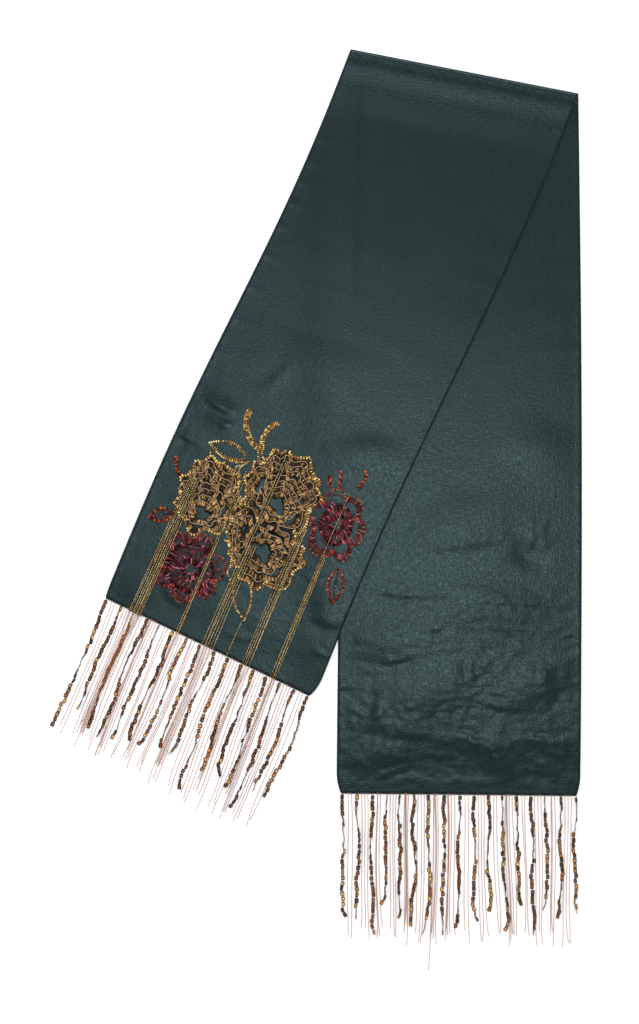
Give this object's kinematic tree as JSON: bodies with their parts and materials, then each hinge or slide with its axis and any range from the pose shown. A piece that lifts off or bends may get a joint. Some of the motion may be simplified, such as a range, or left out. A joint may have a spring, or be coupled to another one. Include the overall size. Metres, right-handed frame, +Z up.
{
  "type": "folded evening scarf with beaded fringe",
  "caption": "Long dark green satin scarf folded across once, laid flat with its legs spread, a beaded bouquet near one hem and strings of sequins and fine chain at both ends.",
  "frame": {"origin": "on the surface the scarf lies on, under the middle of the whole scarf with its fringes", "axes": "+Y towards the fold, +X to the right as seen from above, +Z up from the surface"},
  "size_m": [0.5794, 1.0134, 0.007],
  "materials": {
    "satin": "dark green silk satin with a soft sheen and a fine nap",
    "sequins": "copper and bronze sequins threaded with fine pale chain",
    "gold_beads": "gold and bronze seed beads, bugle beads and metal thread",
    "red_beads": "burgundy glass seed beads and bugle beads",
    "chain": "fine gold ball chain"
  },
  "bodies": {
    "root": {"under_leg": "satin", "over_leg": "satin", "fringe_under": "sequins", "fringe_over": "sequins", "blossom_gold_large": "gold_beads", "blossom_gold_small": "gold_beads", "blossom_red_left": "red_beads", "blossom_red_right": "red_beads", "leaf_gold_upper": "gold_beads", "leaf_gold_lower": "gold_beads", "leaf_red_left": "red_beads", "leaf_red_right": "red_beads", "stem_gold_left": "gold_beads", "stem_gold_right": "gold_beads", "sprig_red_far_left": "red_beads", "sprig_red_top_left": "red_beads", "sprig_red_top_middle": "red_beads", "sprig_red_top_right": "red_beads", "chains_far_left": "chain", "chains_left": "chain", "chains_middle_left": "chain", "chains_single": "chain", "chains_middle_right": "chain", "chains_right": "chain"}
  },
  "joints": []
}
